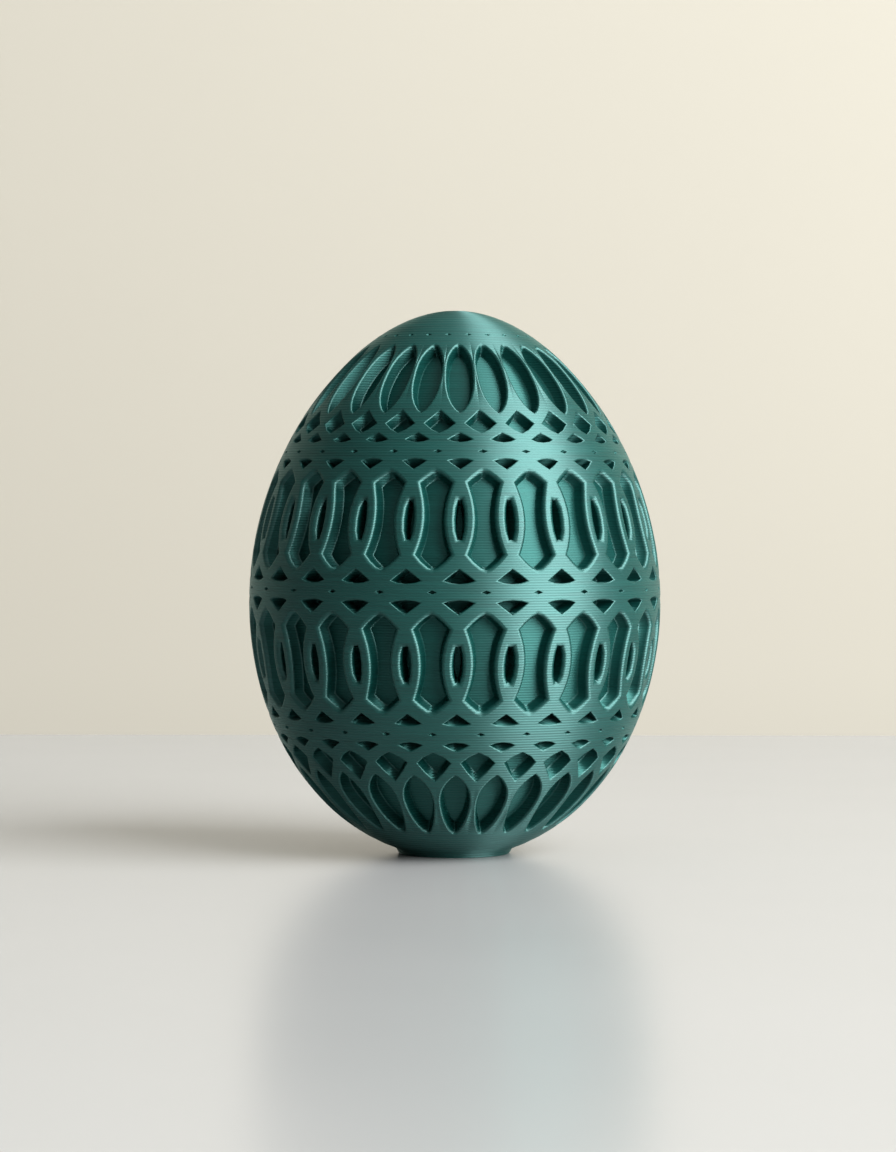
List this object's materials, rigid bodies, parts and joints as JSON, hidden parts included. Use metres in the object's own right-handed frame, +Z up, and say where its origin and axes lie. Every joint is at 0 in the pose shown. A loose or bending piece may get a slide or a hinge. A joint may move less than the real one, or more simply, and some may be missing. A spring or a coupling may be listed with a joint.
{
  "type": "openwork relief decorative egg",
  "caption": "Printed silk-plastic decorative egg with rings of petal, diamond, triangle and bone-shaped recesses between raised bars, on a small flat foot.",
  "frame": {"origin": "centre of the flat foot, on the surface that the egg stands on", "axes": "+Z up along the egg's axis from foot to crown; -Y is the front, on a column of slots"},
  "size_m": [0.0898, 0.09, 0.119],
  "materials": {
    "silk_plastic": "dark teal silk filament with fine horizontal print layers"
  },
  "bodies": {
    "root": {"egg": "silk_plastic"}
  },
  "joints": []
}
